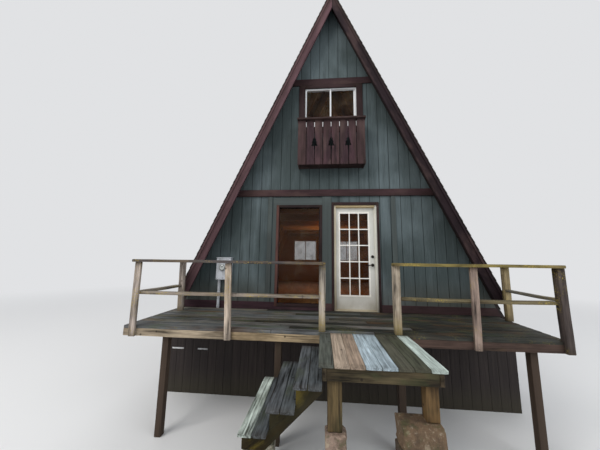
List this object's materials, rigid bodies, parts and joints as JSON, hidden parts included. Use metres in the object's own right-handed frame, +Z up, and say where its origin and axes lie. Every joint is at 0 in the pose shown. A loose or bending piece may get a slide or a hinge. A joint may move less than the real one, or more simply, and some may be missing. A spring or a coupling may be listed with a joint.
{
  "type": "a-frame cabin",
  "caption": "Steep A-frame timber cabin on a crawl space, with a glazed front door, a loft balcony, a railed front deck and a landing with side steps.",
  "frame": {"origin": "on the lowest ground, below the middle of the outline's box", "axes": "+Z up; -Y out of the front door; +X to the right of a person who faces the door from outside; +Y along the ridge to the back"},
  "size_m": [6.3822, 10.338, 8.3479],
  "materials": {
    "siding": "slate green stain on grooved plywood siding, weathered",
    "green_trim": "slate green stain, weathered",
    "brown_trim": "dark reddish brown stain, weathered",
    "brown_frame": "dark brown stain, weathered",
    "balcony_wood": "dark brown stain with the grain showing",
    "roof_planks": "plain planks, seen from below",
    "shingles": "dark mineral-faced asphalt shingles, matte",
    "pine": "bare pine, warm",
    "skirt_wood": "dark brown upright boards, weathered",
    "door_paint": "cream paint, satin, lightly soiled",
    "door_bars": "white moulded rim and bars",
    "vinyl_white": "white vinyl",
    "glass": "clear panes",
    "black_metal": "dark bronze lever, rose and bolt",
    "hinge_metal": "plated steel",
    "deck_wood": "grey weathered boards with green and brown stains",
    "deck_edge": "grey to brown weathered rim boards",
    "old_posts": "dark weathered posts",
    "rail_wood": "grey beige weathered wood with yellow lichen",
    "landing_wood": "odd boards, from tan to pale blue-grey and dark green",
    "landing_frame_wood": "olive brown weathered wood",
    "masonry": "pale blocks with moss",
    "tread_wood": "dark grey weathered boards, the lowest front one pale",
    "stringer_wood": "yellow olive weathered wood",
    "meter_metal": "grey painted sheet metal, matte",
    "meter_glass": "clear domed cover over a pale dial"
  },
  "bodies": {
    "cabin": {"front_wall": "siding", "front_wall_over": "siding", "front_gable": "siding", "rear_wall": "siding", "rear_gable": "siding", "wall_battens": "green_trim", "facade_bands": "brown_trim", "rake_boards": "brown_trim", "door_casing": "brown_frame", "tall_window_frame": "brown_frame", "window_casings": "brown_frame", "balcony_boards": "balcony_wood", "balcony_box": "balcony_wood", "balcony_cap": "balcony_wood", "roof_deck": "roof_planks", "shingles": "shingles", "ridge_cap": "shingles", "main_floor": "pine", "loft_floor": "pine", "floor_joists": "pine", "rafters": "pine", "crawl_walls_ends": "skirt_wood", "crawl_walls_sides": "skirt_wood", "door_frame": "door_paint", "slider_frames": "vinyl_white", "window_glass": "glass", "hinge_frame_leaves": "hinge_metal", "deck_boards": "deck_wood", "deck_frame": "deck_edge", "deck_posts": "old_posts", "rail_posts": "rail_wood", "rails": "rail_wood", "landing_boards": "landing_wood", "landing_frame": "landing_frame_wood", "landing_legs": "landing_frame_wood", "block_piers": "masonry", "stair_treads": "tread_wood", "stair_stringers": "stringer_wood", "meter_box": "meter_metal", "meter_dial": "meter_glass"},
    "door": {"door_slab": "door_paint", "door_grille": "door_bars", "door_glass": "glass", "door_handle": "black_metal", "hinge_door_leaves": "hinge_metal"}
  },
  "joints": [
    {"name": "door_swing", "type": "hinge", "parent": "cabin", "child": "door", "pos_m": [0.071, -2.363, 2.4], "axis": [0, 0, 1], "range_deg": [0, 100]}
  ]
}
